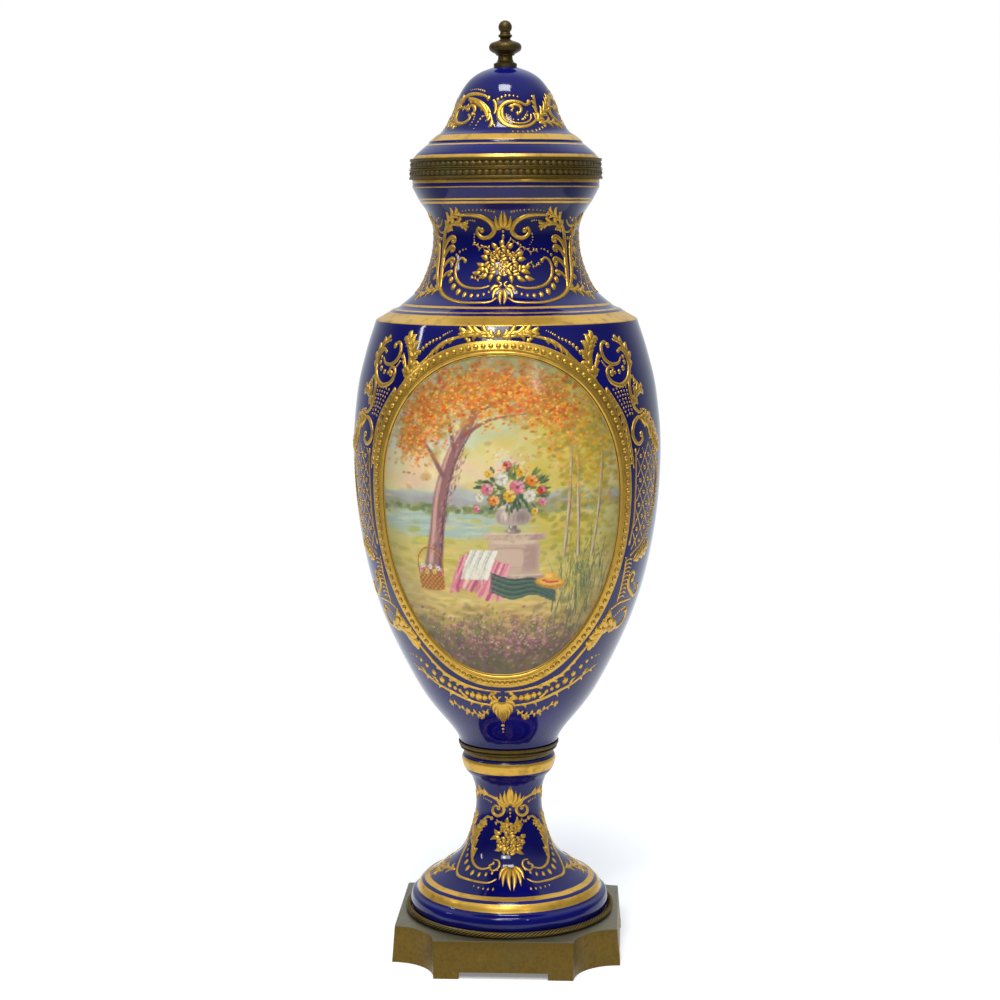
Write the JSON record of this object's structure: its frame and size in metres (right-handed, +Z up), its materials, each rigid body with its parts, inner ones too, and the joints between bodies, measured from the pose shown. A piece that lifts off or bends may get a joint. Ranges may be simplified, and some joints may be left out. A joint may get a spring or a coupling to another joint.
{
  "type": "covered porcelain amphora vase",
  "caption": "Tall covered porcelain amphora vase with a raised oval panel frame on its belly, a waisted foot, bronze bands, collar and finial, on a square bronze plinth.",
  "frame": {"origin": "middle of the plinth's underside", "axes": "+Z up along the axis of the turned pieces; the oval panel faces -Y; the plinth's sides lie along X and Y"},
  "size_m": [0.2968, 0.2968, 0.9001],
  "materials": {
    "porcelain": "gloss",
    "gilding": "satin",
    "painting": "gloss",
    "bronze": "satin"
  },
  "bodies": {
    "root": {"plinth": "bronze", "twisted_ring": "bronze", "foot": "porcelain", "body_collar": "bronze", "vase_body": "porcelain", "neck_band": "bronze", "lid_band": "bronze", "lid": "porcelain", "finial": "bronze"}
  },
  "joints": []
}
